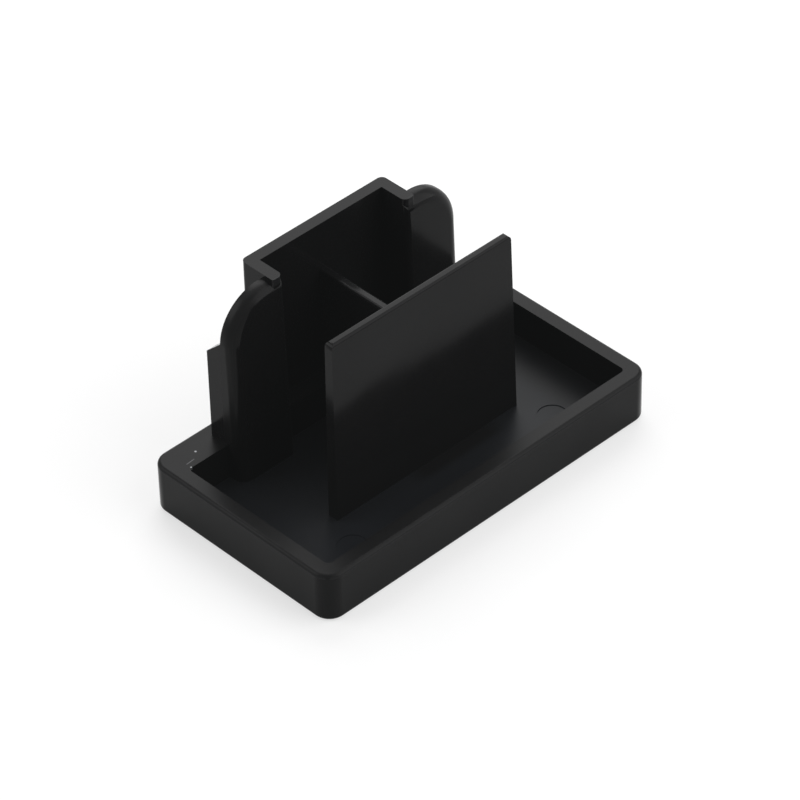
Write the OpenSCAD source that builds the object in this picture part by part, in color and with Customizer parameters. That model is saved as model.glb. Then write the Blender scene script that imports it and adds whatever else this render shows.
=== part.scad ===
// End cap for a rectangular lighting track, moulded in one piece.
// The outer face lies on Z = 0 and the plug that enters the track stands up from it.
// The origin is the middle of the outer face, +X is the long way and -Y is the slot side.

/* [Cap] */
// Length of the cap, across the track
cap_length = 35; // [30:0.5:50]
// Width of the cap, from the back of the track to its slot
cap_width = 20; // [17:0.5:30]
// Height of the cap's outer wall
cap_height = 4.5; // [3.4:0.1:7]
// Radius of the cap's four upright corners
cap_corner_r = 1.5; // [0.8:0.1:3]
// Rounding of the cap's outer rims, top and bottom
cap_edge_r = 0.35; // [0.1:0.05:0.5]
// Thickness of the floor, which is the outer face of the cap
floor_t = 1.3; // [0.8:0.1:2.2]
// Thickness of the rim on the ends and on the slot side
rim_t = 1.4; // [1:0.1:2]
// Thickness of the rim on the back, a ledge that carries the channel
ledge_t = 3; // [2.4:0.1:4.5]
// Radius of the recess's inner corners
recess_corner_r = 0.4; // [0.2:0.1:0.9]

/* [Channel] */
// Width of the channel, outside
channel_width = 15; // [12:0.1:20]
// Height of the channel above the rim
channel_reach = 14.2; // [11:0.1:25]
// Wall of the channel
channel_wall = 1.05; // [0.8:0.05:1.8]
// Step from the cap's back face to the channel's back face
channel_inset = 0.4; // [0.1:0.1:1.2]
// Radius of the channel's outer corners
channel_corner_r = 0.5; // [0.2:0.1:0.8]
// Step from the wings' front face to the free ends of the channel's walls, above the wings
nose_step = 0.1; // [0.05:0.05:0.4]
// Rounding of the free ends of the channel's walls, on the outside
nose_r = 0.2; // [0.1:0.05:0.25]
// Rounding of the same ends on the inside, beside the channel's mouth
mouth_r = 0.5; // [0.2:0.05:0.5]

/* [Wings] */
// Distance over the tips of both wings
wing_span = 24.1; // [21:0.1:29]
// Height of the wings above the rim
wing_reach = 13.85; // [12.5:0.05:25]
// Step from the channel's back face to the wings' back face
wing_inset = 2.4; // [1.9:0.1:3.4]
// Thickness of a wing at its top edge
wing_t = 1.35; // [1.1:0.05:1.8]
// Lean of the wings' front face, for release from the mould
wing_draft = 1.6; // [0:0.1:2.5]
// Radius of a wing's outer top corner
wing_tip_r = 4.1; // [2:0.1:4.4]
// Rounding of a wing's front edge, up its side and over its tip
wing_edge_r = 1; // [0.2:0.05:1.05]

/* [Cheeks] */
// Height of a cheek above the rim, at its back edge
cheek_reach = 8.4; // [5:0.1:9.5]
// Step from the channel's back face to a cheek's back edge
cheek_inset = 0.8; // [0.2:0.1:1.4]
// Thickness of a cheek
cheek_t = 1; // [0.7:0.05:1.6]
// Slope of a cheek's top edge
cheek_slope = 43; // [20:1:60]

/* [Slot plate] */
// Width of the slot plate at its top edge
plate_width = 19; // [14:0.1:24]
// Height of the slot plate above the rim
plate_reach = 13.8; // [10:0.1:25]
// Thickness of the slot plate at its top edge
plate_t = 0.75; // [0.6:0.05:1.4]
// Step from the channel's back face to the slot plate's back face
plate_inset = 11.45; // [9:0.05:12.5]
// Lean of the slot plate's front face and ends, for release from the mould
plate_draft = 0.9; // [0:0.1:2]
// Rounding of the slot plate's top corners
plate_corner_r = 0.45; // [0.2:0.05:1]
// Rounding of the slot plate's two long top edges
plate_edge_r = 0.25; // [0.1:0.05:0.25]

/* [Rib] */
// Thickness of the rib that ties the slot plate to the channel
rib_t = 0.75; // [0.6:0.05:1.4]
// Height of the rib above the rim
rib_reach = 9.9; // [5:0.1:13]
// Rounding of the rib's two top edges
rib_edge_r = 0.2; // [0.1:0.05:0.25]

/* [Ejector marks] */
// Diameter of an ejector mark
mark_d = 2.5; // [1:0.1:4]
// Depth of an ejector mark
mark_depth = 0.06; // [0.05:0.01:0.3]
// Distance between the middles of the two marks
mark_span = 21.8; // [20:0.1:26]
// Step from the slot-side rim to the middle of a mark
mark_inset = 2.9; // [2.2:0.1:4]

/* [Hidden] */
$fn = 64;
// How far the plug reaches into the floor
sink = 0.4;
// How far a cutter passes a face
pass = 1;

// Heights
channel_top = cap_height + channel_reach;
wing_top = cap_height + wing_reach;
cheek_top = cap_height + cheek_reach;
plate_top = cap_height + plate_reach;
rib_top = cap_height + rib_reach;
root = floor_t - sink;

// Places along X, from the middle
mouth = channel_width / 2 - channel_wall;
wing_tip = wing_span / 2;

// Places along Y, from the cap's back face forwards
back = cap_width / 2;
channel_back = back - channel_inset;
wing_back = channel_back - wing_inset;
wing_front = wing_back - wing_t;
channel_end = wing_front + nose_step;
plate_back = channel_back - plate_inset;
plate_front = plate_back - plate_t;
cheek_back = channel_back - cheek_inset;

// A rectangle whose corners are true arcs, centred on the origin
module rounded_rect(length, width, r) {
    square([length - 2 * r, width], center = true);
    square([length, width - 2 * r], center = true);
    for (x = [-1, 1], y = [-1, 1])
        translate([x * (length / 2 - r), y * (width / 2 - r)]) circle(r);
}

// What a rounding of radius r takes off the corner that points to +X and +Y
module corner_waste(r) {
    difference() {
        translate([-r, -r]) square(r + pass);
        translate([-r, -r]) circle(r);
    }
}

// The same for a corner whose +X side leans out by draft towards its foot
module leaning_corner_waste(r, draft) {
    inside = r * (1 - sin(draft)) / cos(draft);
    difference() {
        polygon([
            [-inside, -r],
            [-inside, pass],
            [pass, pass],
            [(r + pass) * cos(draft) - inside, (r + pass) * sin(draft) - r]
        ]);
        translate([-inside, -r]) circle(r);
    }
}

// What rounds the cap's outline at height 0, all the way round
module edge_waste() {
    for (a = [0, 180]) {
        rotate([0, 0, a]) edge_waste_side(cap_length, cap_width);
        rotate([0, 0, a + 90]) edge_waste_side(cap_width, cap_length);
    }
}

// The same along one side and round the corner at its +X end
module edge_waste_side(length, width) {
    run = length - 2 * cap_corner_r;
    translate([-run / 2, -width / 2, 0])
        rotate([90, 0, 90]) linear_extrude(run) mirror([1, 0]) corner_waste(cap_edge_r);
    translate([run / 2, cap_corner_r - width / 2, 0])
        rotate([0, 0, -90]) rotate_extrude(angle = 90)
            translate([cap_corner_r, 0]) corner_waste(cap_edge_r);
}

// An outline that is drawn in X and Z, carried back from the plane Y = 0
module upright(depth) {
    translate([0, depth, 0]) rotate([90, 0, 0]) linear_extrude(depth) children();
}

// The tray: floor, rims and the ledge along the back
module cap() {
    color("#1d1e20") difference() {
        linear_extrude(cap_height) rounded_rect(cap_length, cap_width, cap_corner_r);
        translate([0, 0, cap_height]) edge_waste();
        mirror([0, 0, 1]) edge_waste();
        translate([0, (rim_t - ledge_t) / 2, floor_t]) linear_extrude(cap_height)
            rounded_rect(cap_length - 2 * rim_t, cap_width - rim_t - ledge_t, recess_corner_r);
        for (x = [-1, 1])
            translate([x * mark_span / 2, rim_t + mark_inset - back, floor_t - mark_depth])
                cylinder(d = mark_d, h = cap_height);
    }
}

// The channel's plan: three walls, open at the front, with rounded free ends
module channel_plan() {
    depth = channel_back - channel_end;
    half = channel_width / 2;
    difference() {
        translate([-half, channel_end]) square([channel_width, depth]);
        translate([-mouth, channel_end - pass]) square([2 * mouth, depth + pass - channel_wall]);
        for (x = [-1, 1]) {
            scale([x, 1]) translate([half, channel_back]) corner_waste(channel_corner_r);
            scale([x, -1]) translate([half, -channel_end]) corner_waste(nose_r);
            scale([-x, -1]) translate([-mouth, -channel_end]) corner_waste(mouth_r);
        }
    }
}

// The channel that fills the back of the track
module channel() {
    color("#202124") translate([0, 0, root]) linear_extrude(channel_top - root) channel_plan();
}

// The right wing's outline, seen from the front, with its top edge at height 0
module wing_outline() {
    drop = wing_top - root + pass;
    difference() {
        translate([mouth, -drop]) square([wing_tip - mouth, drop]);
        translate([wing_tip, 0]) corner_waste(wing_tip_r);
    }
}

// What rounds the right wing's front edge: up its side, round its tip, along its top, and
// beside the channel's mouth
module wing_edge_waste() {
    drop = wing_top - root + 2 * pass;
    run = wing_tip - wing_tip_r;
    translate([wing_tip, 0, -drop]) linear_extrude(drop - wing_tip_r)
        mirror([0, 1]) corner_waste(wing_edge_r);
    translate([run, 0, -wing_tip_r]) rotate([90, 0, 0]) rotate_extrude(angle = 90)
        translate([wing_tip_r, 0]) corner_waste(wing_edge_r);
    rotate([90, 0, 90]) linear_extrude(run) mirror([1, 0]) corner_waste(wing_edge_r);
    translate([mouth, 0, -drop]) linear_extrude(drop + pass)
        rotate(180) corner_waste(mouth_r);
}

// The space that the right wing fills, up to its back face
module wing_space() {
    translate([0, -back, root]) cube([cap_length / 2, back + wing_back, channel_top]);
}

// The space that the right cheek fills behind the wing's tip, under its sloping top
module cheek_space() {
    rise = (cheek_back - wing_back) * tan(cheek_slope);
    inside = wing_back - wing_t / 2;
    translate([wing_tip - cheek_t, 0, 0])
        rotate([90, 0, 90]) linear_extrude(cheek_t + pass)
            polygon([
                [cheek_back, root],
                [cheek_back, cheek_top],
                [wing_back, cheek_top + rise],
                [inside, cheek_top + rise],
                [inside, root]
            ]);
}

// The wings on both sides of the channel's mouth, each with the cheek that braces its tip
module wings() {
    color("#222326") for (side = [0, 1])
        mirror([side, 0, 0]) intersection() {
            translate([0, wing_front, wing_top]) rotate([-wing_draft, 0, 0]) difference() {
                upright(back) wing_outline();
                wing_edge_waste();
            }
            union() {
                wing_space();
                cheek_space();
            }
        }
}

// The slot plate's section in Y and Z: its front leans, and its two top edges are rounded
module plate_section() {
    lean = (plate_top - root) * tan(plate_draft);
    difference() {
        polygon([
            [plate_front, plate_top],
            [plate_front - lean, root],
            [plate_back, root],
            [plate_back, plate_top]
        ]);
        translate([plate_back, plate_top]) corner_waste(plate_edge_r);
        translate([plate_front, plate_top]) scale([-1, 1])
            leaning_corner_waste(plate_edge_r, plate_draft);
    }
}

// The plate that closes the track's slot
module slot_plate() {
    height = plate_top - root;
    lean = height * tan(plate_draft);
    color("#242528") intersection() {
        translate([0, -back, 0]) upright(cap_width) difference() {
            polygon([
                [-plate_width / 2, plate_top],
                [plate_width / 2, plate_top],
                [plate_width / 2 + lean, root],
                [-plate_width / 2 - lean, root]
            ]);
            for (x = [-1, 1])
                scale([x, 1]) translate([plate_width / 2, plate_top]) corner_waste(plate_corner_r);
        }
        rotate([90, 0, 90]) linear_extrude(cap_length, center = true) plate_section();
    }
}

// The rib that ties the slot plate to the channel's back wall
module tie_rib() {
    front = plate_back - plate_t / 2;
    reach = channel_back - channel_wall / 2 - front;
    color("#1f2023") translate([0, front, 0]) upright(reach) difference() {
        translate([-rib_t / 2, root]) square([rib_t, rib_top - root]);
        for (x = [-1, 1])
            scale([x, 1]) translate([rib_t / 2, rib_top]) corner_waste(rib_edge_r);
    }
}

module end_cap() {
    cap();
    channel();
    wings();
    slot_plate();
    tie_rib();
}

end_cap();
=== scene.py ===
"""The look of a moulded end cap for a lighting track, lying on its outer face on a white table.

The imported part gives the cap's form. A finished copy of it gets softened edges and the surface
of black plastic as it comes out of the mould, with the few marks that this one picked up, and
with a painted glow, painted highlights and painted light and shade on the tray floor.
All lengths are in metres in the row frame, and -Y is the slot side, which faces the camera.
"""

import math

import bmesh
import bpy
from mathutils import Matrix, Vector

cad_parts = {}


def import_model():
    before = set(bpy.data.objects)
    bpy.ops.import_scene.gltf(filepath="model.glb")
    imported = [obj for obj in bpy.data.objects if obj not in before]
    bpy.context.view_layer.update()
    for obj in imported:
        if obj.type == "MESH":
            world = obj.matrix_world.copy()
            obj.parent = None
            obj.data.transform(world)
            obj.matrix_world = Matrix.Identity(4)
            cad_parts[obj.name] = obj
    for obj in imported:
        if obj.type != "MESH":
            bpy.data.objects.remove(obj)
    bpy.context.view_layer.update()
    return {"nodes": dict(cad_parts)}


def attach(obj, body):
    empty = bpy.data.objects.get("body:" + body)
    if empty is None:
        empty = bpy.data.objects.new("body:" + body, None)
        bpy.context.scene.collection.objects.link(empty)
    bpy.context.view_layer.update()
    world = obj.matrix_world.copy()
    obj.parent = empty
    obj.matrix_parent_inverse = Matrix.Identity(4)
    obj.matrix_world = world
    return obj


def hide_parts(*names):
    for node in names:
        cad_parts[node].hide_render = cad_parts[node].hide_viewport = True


MM = 0.001

# Camera: a long lens that looks down on the cap's slot side from the left
CAMERA_AZIMUTH = math.radians(-43.19)
CAMERA_ELEVATION = math.radians(39.75)
CAMERA_ROLL = math.radians(-1.49)
CAMERA_DISTANCE = 346.4 * MM
CAMERA_LENS = 199.9
CAMERA_SENSOR = 36
CAMERA_AIM = Vector((0, 1.0, 5.0)) * MM
CAMERA_RIGHT = 0.534 * MM
CAMERA_UP = 0.291 * MM

# Light: the lamps' directions from the cap, sizes and radiances
LAMP_DISTANCE = 0.7
LAMPS = {
    "back_lamp": ((0.53, 0.56, 0.64), 0.55, 2.8),
    "front_lamp": ((0.53, -0.64, 0.56), 0.8, 2.3),
    "top_lamp": ((0.25, 0.25, 0.93), 0.7, 1.0),
    "left_lamp": ((-0.6, 0.56, 0.57), 0.45, 2.8),
}
ROOM_LIGHT = 0.2
WHITE = (1, 1, 1, 1)

# Table: how much of its white is a glow, to the eye and in a mirror
TABLE_PAINT = (0.9, 0.9, 0.9, 1)
TABLE_GLOW_SEEN = 0.6
TABLE_GLOW_MIRRORED = 0.25
TABLE_HALF = 2.0
TABLE_GAP = 0.02 * MM

# The softening that a mould's polished edges leave on the plastic
EDGE_SOFTENING = 0.10 * MM
EDGE_STEPS = 3
EDGE_ANGLE = math.radians(32)
WELD_DISTANCE = 0.002 * MM
FLAT_ANGLE = math.radians(0.5)

# The cap's own places, which the finish follows
HALF_LENGTH = 17.5 * MM
HALF_WIDTH = 10.0 * MM
RIM_TOP = 4.5 * MM
RIM_WIDTH = 1.4 * MM
LEDGE_WIDTH = 3.0 * MM
FLOOR_TOP = 1.3 * MM
CHANNEL_HALF = 7.5 * MM
CHANNEL_TOP = 18.7 * MM
WING_FRONT = 5.85 * MM
WING_BACK = 7.2 * MM
RIB_HALF = 0.375 * MM
RIB_TOP = 14.4 * MM
PLATE_BACK = -1.85 * MM
PLATE_FRONT = -2.6 * MM
POCKET_SIDE = HALF_LENGTH - RIM_WIDTH
POCKET_FRONT = HALF_WIDTH - RIM_WIDTH
POCKET_BACK = HALF_WIDTH - LEDGE_WIDTH

# How softly one finish runs into the next
BLEND = 0.1 * MM
FINE_BLEND = 0.05 * MM

# Painted light on the tray floor, in place of bounced light: its strength, and where it starts
# and ends
FLOOR_LIGHT_STRENGTH = 0.52
SLOT_SIDE_PAINTED_LIGHT = 0.16
SLOT_SIDE_STARTS = (3.0 * MM, 4.6 * MM)
SLOT_SIDE_PAINTED_LIGHT_ENDS = (9.5 * MM, 13.0 * MM)
FADED_PAINTED_LIGHT = 0.35
PAINTED_LIGHT_FADES = (11.6 * MM, 13.2 * MM)

# Painted shade: the strip of floor at the slot plate's foot that is left without the painted
# light
FOOT_SHADE_MIDDLE = 2.5 * MM
FOOT_SHADE_STARTS = (-PLATE_FRONT - 0.6 * MM, -PLATE_FRONT - 0.3 * MM)
FOOT_SHADE_ENDS = (3.7 * MM, 4.6 * MM)
FOOT_SHADE_SIDES = (3.0 * MM, 5.5 * MM)

# Painted highlights: the plastic painted paler on the tray's top edge, free ends and rib's top
TRAY_EDGE_DEPTH = 0.4 * MM
TRAY_EDGE_STARTS = (RIM_TOP - 0.4 * MM, RIM_TOP - 0.3 * MM)
TRAY_EDGE_ENDS = (RIM_TOP - 0.25 * MM, RIM_TOP - 0.08 * MM)
FREE_END_STARTS = (CHANNEL_TOP - 0.7 * MM, CHANNEL_TOP - 0.6 * MM)
FREE_END_FRONT = (5.0 * MM, 5.1 * MM)
FREE_END_BACK = (6.0 * MM, 6.15 * MM)
RIB_HIGHLIGHT = 2.5
RIB_HIGHLIGHT_SIDES = (RIB_HALF + 0.075 * MM, RIB_HALF + 0.125 * MM)
RIB_HIGHLIGHT_STARTS = (RIB_TOP - 0.3 * MM, RIB_TOP - 0.2 * MM)
RIB_HIGHLIGHT_TOP = (RIB_TOP + FINE_BLEND, RIB_TOP + FINE_BLEND + BLEND)
RIB_HIGHLIGHT_FRONT = (PLATE_BACK + FINE_BLEND, PLATE_BACK + FINE_BLEND + BLEND)
RIB_HIGHLIGHT_BACK = (5.7 * MM, 6.6 * MM)

# Colours of the plastic, of the dust on it, and of the light and shade painted on it
DEEP_BLACK = (0.0034, 0.0034, 0.0036, 1)
PALE_BLACK = (0.0050, 0.0048, 0.0050, 1)
# A pale bluish colour painted on the tray floor in place of bounced light
PAINTED_FLOOR_LIGHT = (0.0120, 0.0135, 0.0165, 1)
# A paler black painted on edges as highlights
PAINTED_HIGHLIGHT = (0.0100, 0.0100, 0.0104, 1)
DUST = (0.42, 0.43, 0.45, 1)

# A faint painted glow: the plastic gives off a little light that lifts even its deepest blacks
PAINTED_GLOW = (0.95, 1.0, 1.0, 1)
PAINTED_GLOW_STRENGTH = 0.0050

# Noise: how fine each kind is, its detail and the roughness of that detail
CLOUD_NOISE = (260.0, 3.0, 0.5)
GRAIN_NOISE = (9000.0, 2.0, 0.6)
RIPPLE_NOISE = (330.0, 1.0, 0.5)
WARP_NOISE = (110.0, 1.0, 0.5)

# The plastic's relief: its depth, and each noise's share of it
RELIEF_DEPTH = 0.1 * MM
GRAIN_SHARE = 0.003
RIPPLE_SHARE = 0.03
WARP_SHARE = 1.5

# Gloss: the bare plastic, and how much rougher it is in places
PLASTIC_IOR = 1.45
PLASTIC_SPECULAR = 0.083
BARE_ROUGHNESS = 0.12
CLOUD_ROUGHNESS = 0.05
RIM_ROUGHNESS = 0.19
FLOOR_ROUGHNESS = 0.21
WING_ROUGHNESS = 0.16
MARK_ROUGHNESS = 0.35

# Marks on the top of the back ledge: the middle and radius of each speck, and one scratch.
# A core is the share of a mark's reach that has its full strength.
SPECKS = [
    (-14.3 * MM, 8.2 * MM, 0.13 * MM),
    (-15.8 * MM, 7.05 * MM, 0.09 * MM),
]
SPECK_CORE = 0.4
SCRATCH_START = (-15.0 * MM, 7.6 * MM)
SCRATCH_END = (-15.8 * MM, 7.55 * MM)
SCRATCH_REACH = 0.04 * MM
SCRATCH_CORE = 0.3
SCRATCH_STRENGTH = 0.35


class Value:
    """A shader socket that works in Python expressions."""

    def __init__(self, tree, socket):
        self.tree = tree
        self.socket = socket

    def math(self, operation, *others):
        values = dict(enumerate((self, *others)))
        return self.tree.node("ShaderNodeMath", {"operation": operation}, values)

    def __add__(self, other):
        return self.math("ADD", other)

    def __sub__(self, other):
        return self.math("SUBTRACT", other)

    def __rsub__(self, other):
        values = {0: other, 1: self}
        return self.tree.node("ShaderNodeMath", {"operation": "SUBTRACT"}, values)

    def __mul__(self, other):
        return self.math("MULTIPLY", other)

    def __truediv__(self, other):
        return self.math("DIVIDE", other)

    def __pow__(self, other):
        return self.math("POWER", other)

    def __neg__(self):
        return self.math("MULTIPLY", -1.0)

    def __abs__(self):
        return self.math("ABSOLUTE")

    __radd__ = __add__
    __rmul__ = __mul__

    def smaller(self, other):
        return self.math("MINIMUM", other)

    def larger(self, other):
        return self.math("MAXIMUM", other)

    def below(self, start, end):
        """1 at start and below, 0 at end and above, smooth between."""
        settings = {"interpolation_type": "SMOOTHSTEP"}
        values = {"Value": self, "From Min": start, "From Max": end, "To Min": 1.0, "To Max": 0.0}
        return self.tree.node("ShaderNodeMapRange", settings, values)

    def above(self, start, end):
        """0 at start and below, 1 at end and above, smooth between."""
        return 1.0 - self.below(start, end)


class Tree:
    """A node tree that is written as calls and expressions."""

    def __init__(self, owner):
        owner.use_nodes = True
        self.nodes = owner.node_tree.nodes
        self.links = owner.node_tree.links
        self.nodes.clear()

    def node(self, kind, settings=None, values=None, out=0):
        made = self.nodes.new(kind)
        for name, value in (settings or {}).items():
            setattr(made, name, value)
        for name, value in (values or {}).items():
            self.feed(made.inputs[name], value)
        return Value(self, made.outputs[out]) if made.outputs else None

    def feed(self, socket, value):
        if isinstance(value, Value):
            self.links.new(value.socket, socket)
        else:
            socket.default_value = value

    def split(self, vector):
        made = self.node("ShaderNodeSeparateXYZ", values={0: vector}).socket.node
        return [Value(self, made.outputs[i]) for i in range(3)]

    def mix(self, factor, a, b):
        """A colour between a and b. Sockets 6 and 7 of the node are its two colours."""
        settings = {"data_type": "RGBA"}
        return self.node("ShaderNodeMix", settings, {"Factor": factor, 6: a, 7: b}, out=2)

    def noise(self, where, kind):
        scale, detail, roughness = kind
        values = {"Vector": where, "Scale": scale, "Detail": detail, "Roughness": roughness}
        return self.node("ShaderNodeTexNoise", values=values)

    def background_rays(self):
        """Whether a ray comes from the camera, and whether from a mirror or through glass."""
        paths = self.node("ShaderNodeLightPath").socket.node
        seen, glossy, transmitted = (
            Value(self, paths.outputs[name])
            for name in ("Is Camera Ray", "Is Glossy Ray", "Is Transmission Ray")
        )
        return seen, glossy.larger(transmitted)


def distance_to_point(x, y, point):
    """How far the place (x, y) lies from a point, as a shader value."""
    dx, dy = x - point[0], y - point[1]
    return (dx * dx + dy * dy) ** 0.5


def distance_to_line(x, y, start, end):
    """How far the place (x, y) lies from a straight stretch, as a shader value."""
    run = (end[0] - start[0], end[1] - start[1])
    length = math.hypot(*run)
    along = ((x - start[0]) * run[0] + (y - start[1]) * run[1]) / length**2
    along = along.larger(0.0).smaller(1.0)
    dx = x - start[0] - along * run[0]
    dy = y - start[1] - along * run[1]
    return (dx * dx + dy * dy) ** 0.5


def tray_pocket(x, y):
    """1 inside the tray's rims, 0 on them and outside."""
    across = abs(x).below(POCKET_SIDE - BLEND, POCKET_SIDE)
    front = (-y).below(POCKET_FRONT - BLEND, POCKET_FRONT)
    return across * front * y.below(POCKET_BACK - BLEND, POCKET_BACK)


def painted_floor_light_strength(x, y):
    """How strongly light is painted on the tray floor: more on the slot side, none in the painted
    shade at the slot plate's foot, and less towards the +X end.
    """
    slot_side = (-y).above(*SLOT_SIDE_STARTS) * x.below(*SLOT_SIDE_PAINTED_LIGHT_ENDS)
    foot_shade = (-y).above(*FOOT_SHADE_STARTS) * (-y).below(*FOOT_SHADE_ENDS)
    foot_shade = foot_shade * abs(x - FOOT_SHADE_MIDDLE).below(*FOOT_SHADE_SIDES)
    fading = FADED_PAINTED_LIGHT + (1.0 - FADED_PAINTED_LIGHT) * x.below(*PAINTED_LIGHT_FADES)
    return (FLOOR_LIGHT_STRENGTH + SLOT_SIDE_PAINTED_LIGHT * slot_side) * (1.0 - foot_shade) * fading


def painted_edge_highlights(x, y, z):
    """1 where a highlight is painted on an edge, and more than 1 on the rib's top."""
    side = HALF_LENGTH - TRAY_EDGE_DEPTH
    front = HALF_WIDTH - TRAY_EDGE_DEPTH
    within = abs(x).below(side, side + BLEND) * abs(y).below(front, front + BLEND)
    tray_edge = (1.0 - within) * z.above(*TRAY_EDGE_STARTS) * z.below(*TRAY_EDGE_ENDS)
    free_ends = z.above(*FREE_END_STARTS) * y.above(*FREE_END_FRONT) * y.below(*FREE_END_BACK)
    rib = abs(x).below(*RIB_HIGHLIGHT_SIDES) * z.above(*RIB_HIGHLIGHT_STARTS) * z.below(*RIB_HIGHLIGHT_TOP)
    rib = rib * y.above(*RIB_HIGHLIGHT_FRONT) * y.below(*RIB_HIGHLIGHT_BACK)
    return tray_edge.larger(free_ends).larger(rib * RIB_HIGHLIGHT)


def wing_rounding(x, y, z):
    """1 on the wings' rounded front edges and tips, 0 on their front faces and elsewhere."""
    beside = abs(x).above(CHANNEL_HALF + BLEND, CHANNEL_HALF + 2 * BLEND)
    over = z.above(RIM_TOP + BLEND, RIM_TOP + 2 * BLEND)
    behind = y.above(WING_FRONT + FINE_BLEND, WING_FRONT + FINE_BLEND + 2 * BLEND)
    return beside * over * behind * y.below(WING_BACK + BLEND, WING_BACK + 2 * BLEND)


def ledge_marks(x, y):
    """1 on the specks of dust, and a part of 1 along the scratch."""
    scratch = distance_to_line(x, y, SCRATCH_START, SCRATCH_END)
    marks = scratch.below(SCRATCH_CORE * SCRATCH_REACH, SCRATCH_REACH) * SCRATCH_STRENGTH
    for middle_x, middle_y, radius in SPECKS:
        away = distance_to_point(x, y, (middle_x, middle_y))
        marks = marks.larger(away.below(SPECK_CORE * radius, radius))
    return marks


def black_plastic():
    """Black plastic, semi-gloss as moulded, with a fine grain and a few small marks,
    and with a painted glow, painted highlights and painted light and shade on the tray floor.
    """
    material = bpy.data.materials.new("black_plastic")
    tree = Tree(material)
    where = tree.node("ShaderNodeTexCoord", out="Object")
    x, y, z = tree.split(where)

    from_rim_up = z.above(RIM_TOP - 2 * BLEND, RIM_TOP - 2 * BLEND + FINE_BLEND)
    up_to_rim = z.below(RIM_TOP + BLEND, RIM_TOP + BLEND + FINE_BLEND)
    up_to_floor = z.below(FLOOR_TOP + FINE_BLEND, FLOOR_TOP + 2 * FINE_BLEND)
    pocket = tray_pocket(x, y)
    on_rim = from_rim_up * up_to_rim * (1.0 - pocket)
    on_floor = up_to_floor * pocket
    marks = ledge_marks(x, y) * from_rim_up

    cloud = tree.noise(where, CLOUD_NOISE)
    colour = tree.mix(cloud, DEEP_BLACK, PALE_BLACK)
    # Painted light on the tray floor, with painted shade left at the slot plate's foot
    colour = tree.mix(on_floor * painted_floor_light_strength(x, y), colour, PAINTED_FLOOR_LIGHT)
    # Painted highlights on the tray's top edge, the channel's free ends and the rib's top
    colour = tree.mix(painted_edge_highlights(x, y, z), colour, PAINTED_HIGHLIGHT)
    colour = tree.mix(marks, colour, DUST)

    roughness = BARE_ROUGHNESS + cloud * CLOUD_ROUGHNESS
    roughness = roughness + on_rim * RIM_ROUGHNESS + on_floor * FLOOR_ROUGHNESS
    roughness = roughness + wing_rounding(x, y, z) * WING_ROUGHNESS + marks * MARK_ROUGHNESS

    grain = tree.noise(where, GRAIN_NOISE) * GRAIN_SHARE
    ripple = tree.noise(where, RIPPLE_NOISE) * RIPPLE_SHARE
    warp = tree.noise(where, WARP_NOISE) * WARP_SHARE
    relief = {"Strength": 1.0, "Distance": RELIEF_DEPTH, "Height": grain + ripple + warp}
    bump = tree.node("ShaderNodeBump", values=relief)
    shader = tree.node(
        "ShaderNodeBsdfPrincipled",
        values={
            "Base Color": colour,
            "Roughness": roughness,
            "IOR": PLASTIC_IOR,
            "Specular IOR Level": PLASTIC_SPECULAR,
            # A faint painted glow that lifts the blacks
            "Emission Color": PAINTED_GLOW,
            "Emission Strength": PAINTED_GLOW_STRENGTH,
            "Normal": bump,
        },
    )
    tree.node("ShaderNodeOutputMaterial", values={"Surface": shader})
    return material


def finished_cap(source, material):
    """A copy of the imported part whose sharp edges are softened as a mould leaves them."""
    shape = bmesh.new()
    shape.from_mesh(source.data)
    bmesh.ops.remove_doubles(shape, verts=shape.verts, dist=WELD_DISTANCE)
    bmesh.ops.dissolve_limit(
        shape, angle_limit=FLAT_ANGLE, verts=shape.verts, edges=shape.edges, delimit={"NORMAL"}
    )
    mesh = bpy.data.meshes.new("cap_shape")
    shape.to_mesh(mesh)
    shape.free()
    cap = bpy.data.objects.new("moulded_cap", mesh)
    bpy.context.scene.collection.objects.link(cap)
    for face in mesh.polygons:
        face.use_smooth = True
    soften = cap.modifiers.new("soften", "BEVEL")
    soften.width = EDGE_SOFTENING
    soften.segments = EDGE_STEPS
    soften.limit_method = "ANGLE"
    soften.angle_limit = EDGE_ANGLE
    soften.use_clamp_overlap = True
    flatten = cap.modifiers.new("flatten", "WEIGHTED_NORMAL")
    flatten.mode = "FACE_AREA"
    flatten.weight = 100
    flatten.thresh = 0.0
    bpy.context.view_layer.update()
    graph = bpy.context.evaluated_depsgraph_get()
    final = bpy.data.meshes.new_from_object(cap.evaluated_get(graph), depsgraph=graph)
    final.name = "moulded_cap"
    cap.modifiers.clear()
    cap.data = final
    final.materials.clear()
    final.materials.append(material)
    return cap


def white_table():
    """White table top, which stays white in the picture and keeps a faint shadow."""
    material = bpy.data.materials.new("white_table")
    tree = Tree(material)
    seen, mirrored = tree.background_rays()
    glowing = (seen * TABLE_GLOW_SEEN).larger(mirrored * TABLE_GLOW_MIRRORED)
    paint = tree.node("ShaderNodeBsdfDiffuse", values={"Color": TABLE_PAINT})
    glow = tree.node("ShaderNodeEmission", values={"Color": WHITE, "Strength": 1.0})
    both = tree.node("ShaderNodeMixShader", values={0: glowing, 1: paint, 2: glow})
    tree.node("ShaderNodeOutputMaterial", values={"Surface": both})
    return material


def make_table():
    """A wide flat table, a hair below the cap so that the two faces never meet."""
    half = TABLE_HALF
    mesh = bpy.data.meshes.new("table")
    corners = [(-half, -half, 0), (half, -half, 0), (half, half, 0), (-half, half, 0)]
    mesh.from_pydata(corners, [], [(0, 1, 2, 3)])
    mesh.materials.append(white_table())
    table = bpy.data.objects.new("table", mesh)
    bpy.context.scene.collection.objects.link(table)
    table.location.z = -TABLE_GAP


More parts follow.
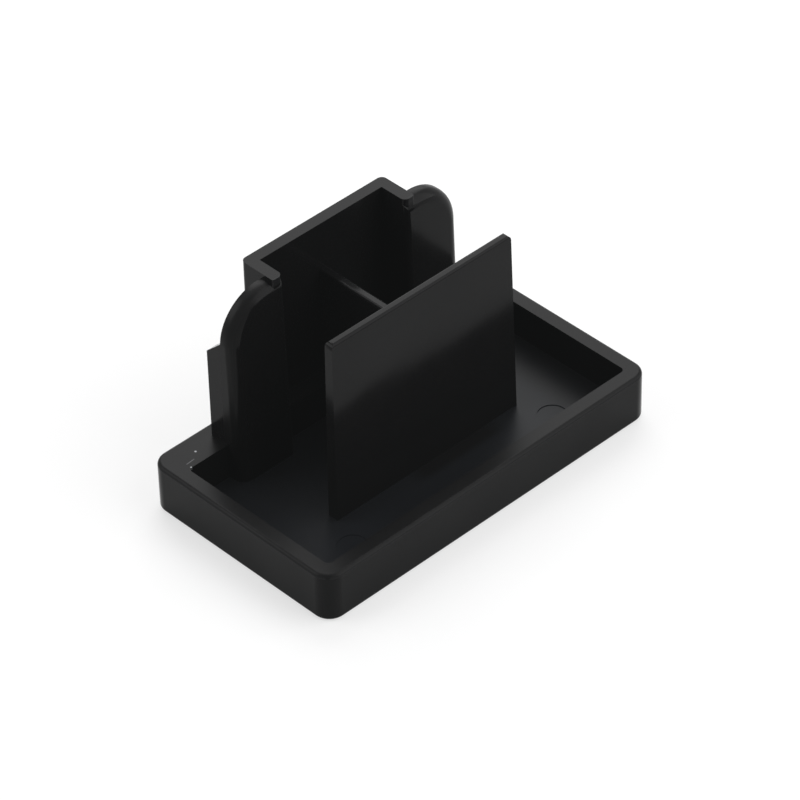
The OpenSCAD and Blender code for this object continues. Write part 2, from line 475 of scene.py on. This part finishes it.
def make_camera():
    """The camera, placed by its direction from the cap, its distance and its roll."""
    back = Vector((
        math.sin(CAMERA_AZIMUTH) * math.cos(CAMERA_ELEVATION),
        -math.cos(CAMERA_AZIMUTH) * math.cos(CAMERA_ELEVATION),
        math.sin(CAMERA_ELEVATION),
    ))
    level = Vector((math.cos(CAMERA_AZIMUTH), math.sin(CAMERA_AZIMUTH), 0))
    upright = back.cross(level)
    right = level * math.cos(CAMERA_ROLL) + upright * math.sin(CAMERA_ROLL)
    up = upright * math.cos(CAMERA_ROLL) - level * math.sin(CAMERA_ROLL)
    place = CAMERA_AIM + back * CAMERA_DISTANCE + right * CAMERA_RIGHT + up * CAMERA_UP
    turn = Matrix((right, up, back)).transposed().to_4x4()
    data = bpy.data.cameras.new("camera")
    data.lens = CAMERA_LENS
    data.sensor_width = CAMERA_SENSOR
    data.clip_start = 10 * MM
    camera = bpy.data.objects.new("camera", data)
    bpy.context.scene.collection.objects.link(camera)
    camera.matrix_world = Matrix.Translation(place) @ turn
    bpy.context.scene.camera = camera


def softbox(name, direction, size, radiance):
    """A square lamp that shines evenly on the cap from one direction."""
    data = bpy.data.lights.new(name, "AREA")
    data.shape = "SQUARE"
    data.size = size
    data.energy = radiance * math.pi * size**2
    lamp = bpy.data.objects.new(name, data)
    bpy.context.scene.collection.objects.link(lamp)
    away = Vector(direction).normalized()
    lamp.location = away * LAMP_DISTANCE
    lamp.rotation_mode = "QUATERNION"
    lamp.rotation_quaternion = away.to_track_quat("Z", "Y")


def make_light():
    """A pale room, white to the eye and in mirrors, with four large soft lamps."""
    world = bpy.data.worlds.new("room")
    bpy.context.scene.world = world
    tree = Tree(world)
    seen, mirrored = tree.background_rays()
    strength = ROOM_LIGHT + seen.larger(mirrored) * (1.0 - ROOM_LIGHT)
    room = tree.node("ShaderNodeBackground", values={"Color": WHITE, "Strength": strength})
    tree.node("ShaderNodeOutputWorld", values={"Surface": room})
    for name, (direction, size, radiance) in LAMPS.items():
        softbox(name, direction, size, radiance)


def main():
    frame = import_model()
    bpy.context.scene.view_settings.view_transform = "Standard"
    make_camera()
    make_light()
    make_table()
    cap = finished_cap(frame["nodes"]["end_cap"], black_plastic())
    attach(cap, "root")
    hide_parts("end_cap")


main()
